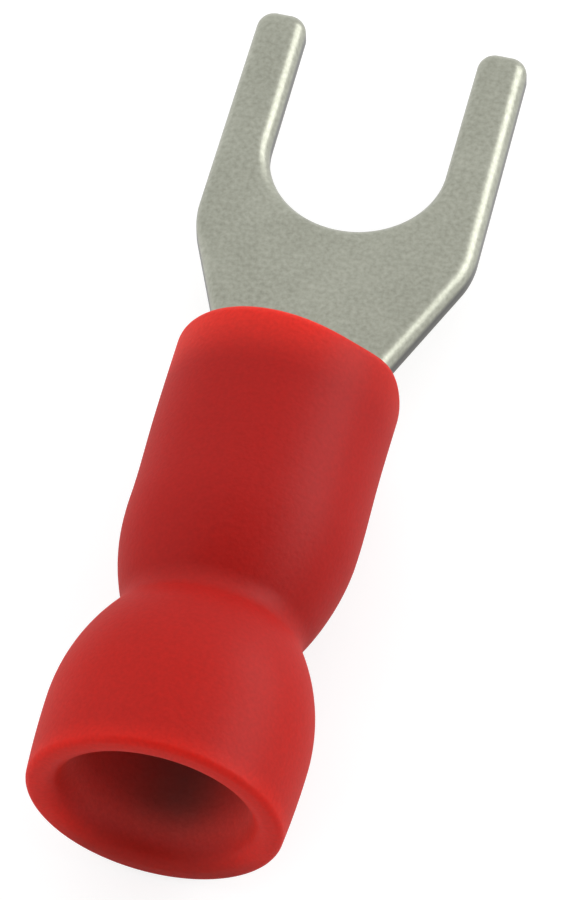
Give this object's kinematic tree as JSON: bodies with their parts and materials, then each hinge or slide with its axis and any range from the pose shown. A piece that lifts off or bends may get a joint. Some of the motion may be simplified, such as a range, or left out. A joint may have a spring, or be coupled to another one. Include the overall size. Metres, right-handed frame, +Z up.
{
  "type": "fork terminal",
  "caption": "Pre-insulated crimp fork terminal: a stamped, tin-plated tongue with an open slot and a rolled barrel in a red waisted sleeve.",
  "frame": {"origin": "centre of the slot's round bottom, which is the stud's centre, on the underside of the tongue", "axes": "+Y along the barrel's axis towards the prong tips, +Z up from the tongue's underside, +X to the right seen from the sleeve's mouth"},
  "size_m": [0.006, 0.0204, 0.0055],
  "materials": {
    "tin_plate": "matte tin plating on copper",
    "red_pvc": "satin"
  },
  "bodies": {
    "root": {"fork_lug": "tin_plate", "insulating_sleeve": "red_pvc"}
  },
  "joints": []
}
